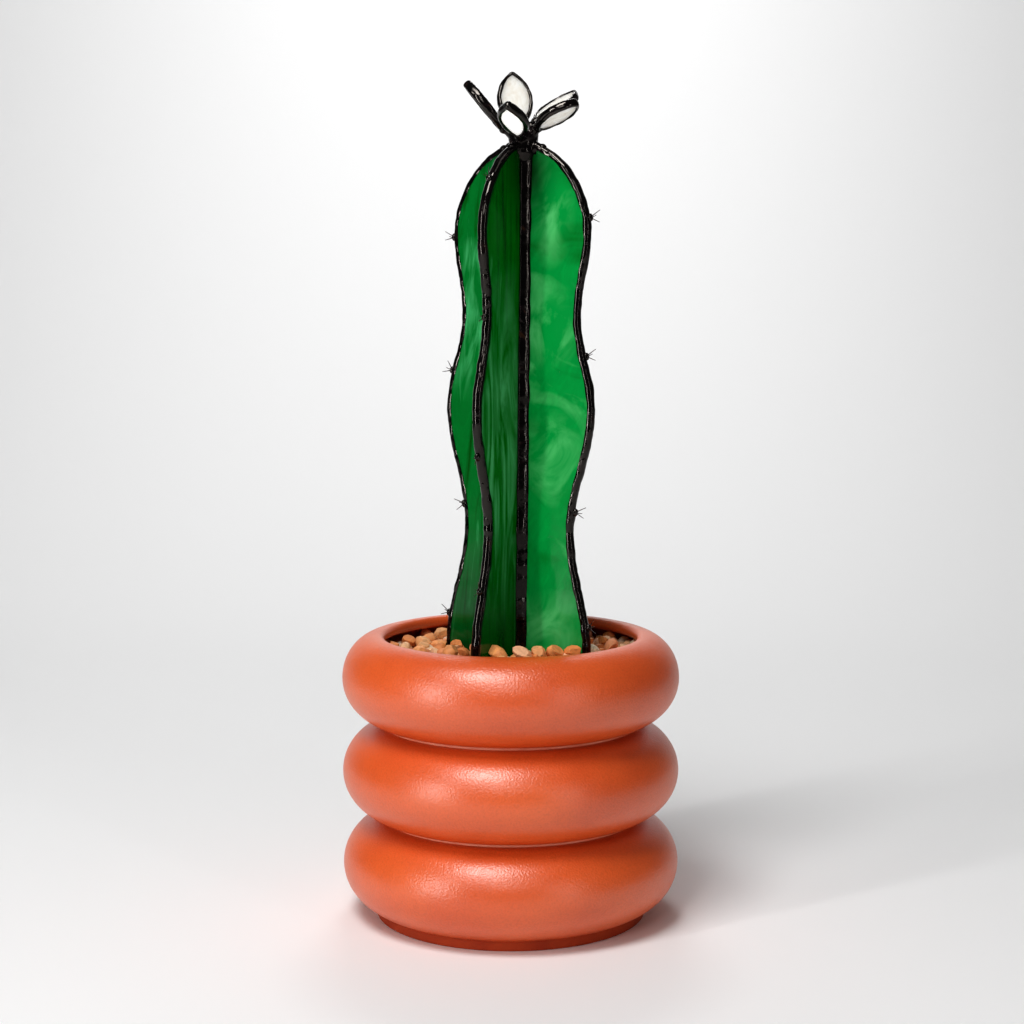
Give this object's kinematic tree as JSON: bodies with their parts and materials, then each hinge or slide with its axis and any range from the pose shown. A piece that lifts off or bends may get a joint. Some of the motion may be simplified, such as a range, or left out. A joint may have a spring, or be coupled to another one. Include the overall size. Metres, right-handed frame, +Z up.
{
  "type": "stained glass cactus in a ceramic pot",
  "caption": "Upright cactus of crossed green glass fins edged in black solder, topped by a clear glass flower, set in gravel in a terracotta-coloured pot of stacked rings.",
  "frame": {"origin": "centre of the pot's foot, at the surface that it stands on", "axes": "+Z up along the pot's axis; -Y towards the side with the front fin and the lowest petal; +X to the right seen from there"},
  "size_m": [0.1316, 0.1316, 0.328],
  "materials": {
    "terracotta_glaze": "satin, fine speckle",
    "cast_plaster": "matte",
    "tan_gravel": "dry, rough to rounded",
    "green_glass": "wispy streaks, glossy",
    "petal_glass": "clear to faintly milky, glossy",
    "black_solder": "black patina, bright and lumpy",
    "spine_wire": "black patina over twisted wire"
  },
  "bodies": {
    "root": {"pot": "terracotta_glaze", "plaster_plug": "cast_plaster", "gravel_bed": "tan_gravel", "centre_seam": "black_solder", "flower_hub": "black_solder", "fin_glass_right": "green_glass", "fin_rim_right": "black_solder", "spine_right_1": "spine_wire", "spine_right_2": "spine_wire", "spine_right_3": "spine_wire", "spine_right_4": "spine_wire", "fin_glass_front": "green_glass", "fin_rim_front": "black_solder", "spine_front_1": "spine_wire", "spine_front_2": "spine_wire", "spine_front_3": "spine_wire", "spine_front_4": "spine_wire", "fin_glass_left": "green_glass", "fin_rim_left": "black_solder", "spine_left_1": "spine_wire", "spine_left_2": "spine_wire", "spine_left_3": "spine_wire", "spine_left_4": "spine_wire", "fin_glass_back": "green_glass", "fin_rim_back": "black_solder", "spine_back_1": "spine_wire", "spine_back_2": "spine_wire", "spine_back_3": "spine_wire", "spine_back_4": "spine_wire", "petal_glass_front": "petal_glass", "petal_rim_front": "black_solder", "petal_glass_right": "petal_glass", "petal_rim_right": "black_solder", "petal_glass_right_back": "petal_glass", "petal_rim_right_back": "black_solder", "petal_glass_back": "petal_glass", "petal_rim_back": "black_solder", "petal_glass_left": "petal_glass", "petal_rim_left": "black_solder"}
  },
  "joints": []
}
